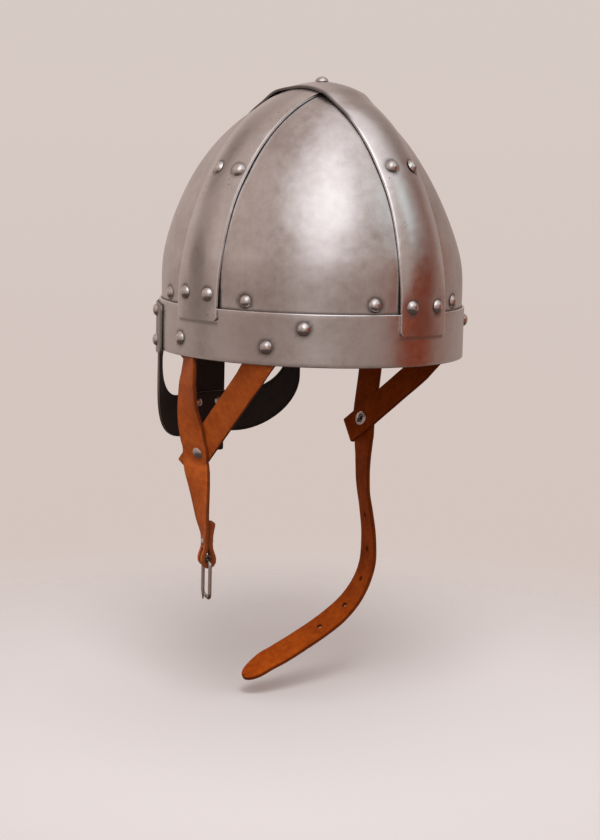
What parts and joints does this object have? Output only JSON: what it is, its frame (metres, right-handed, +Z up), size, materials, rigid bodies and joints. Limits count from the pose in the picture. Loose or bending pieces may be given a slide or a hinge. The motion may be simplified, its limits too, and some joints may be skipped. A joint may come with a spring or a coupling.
{
  "type": "riveted helmet with spectacle guard",
  "caption": "Riveted steel helmet of the viking kind: crossed bands over dished plates, a spectacle face guard with a nasal bar, leather lining and a buckled leather chin strap.",
  "frame": {"origin": "centre of the helmet's rim, in the plane of the brow band's lower edge, where the head comes in", "axes": "+Z up through the crown, -Y the face, +X the wearer's left"},
  "size_m": [0.2134, 0.2353, 0.4377],
  "materials": {
    "brushed_steel": "hand-finished steel sheet, satin, with fine scratches, small pits and bright worn edges",
    "dark_steel": "the same steel, duller and darker on the face guard, with a bright filed edge",
    "rivet_steel": "domed rivet heads, worn bright",
    "buckle_wire": "bent round wire, satin",
    "strap_leather": "orange-brown vegetable-tanned leather with darker cut edges",
    "liner_leather": "thin dark brown lining leather, matt",
    "lace_leather": "round leather lace"
  },
  "bodies": {
    "root": {"brow_band": "brushed_steel", "plate_front_left": "brushed_steel", "plate_front_right": "brushed_steel", "plate_back_left": "brushed_steel", "plate_back_right": "brushed_steel", "long_band": "brushed_steel", "cross_band": "brushed_steel", "apex_rivet": "rivet_steel", "band_rivets_upper": "rivet_steel", "band_rivets_lower": "rivet_steel", "plate_rivets": "rivet_steel", "brow_rivets": "rivet_steel", "face_guard": "dark_steel", "face_guard_rivets": "rivet_steel", "nasal_bar": "dark_steel", "nasal_rivets": "rivet_steel", "strap_tabs": "strap_leather", "strap_rivets": "rivet_steel", "liner_band": "liner_leather", "liner_tongues_left": "liner_leather", "liner_tongues_right": "liner_leather", "liner_lace": "lace_leather", "liner_washers": "rivet_steel"},
    "strap_left": {"strap_front_left": "strap_leather", "strap_rear_left": "strap_leather", "yoke_rivet_left": "rivet_steel", "loop_rivet": "rivet_steel"},
    "strap_right": {"strap_front_right": "strap_leather", "strap_rear_right": "strap_leather", "yoke_rivet_right": "rivet_steel"},
    "buckle": {"buckle_frame": "buckle_wire"},
    "prong": {"buckle_prong": "buckle_wire"}
  },
  "joints": [
    {"name": "strap_left_swing", "type": "hinge", "parent": "root", "child": "strap_left", "pos_m": [0.09678, -0.013, -0.004], "axis": [0.1397, -0.9902, 0], "range_deg": [-15, 80]},
    {"name": "strap_right_swing", "type": "hinge", "parent": "root", "child": "strap_right", "pos_m": [-0.09275, -0.033, -0.004], "axis": [0.0226, 0.9997, 0], "range_deg": [-15, 80]},
    {"name": "buckle_swing", "type": "hinge", "parent": "strap_left", "child": "buckle", "pos_m": [0.06983, -0.02497, -0.14644], "axis": [-0.4067, -0.9135, 0], "range_deg": [-45, 45]},
    {"name": "prong_swing", "type": "hinge", "parent": "buckle", "child": "prong", "pos_m": [0.06983, -0.02497, -0.14644], "axis": [-0.4067, -0.9135, 0], "range_deg": [0, 90]}
  ]
}
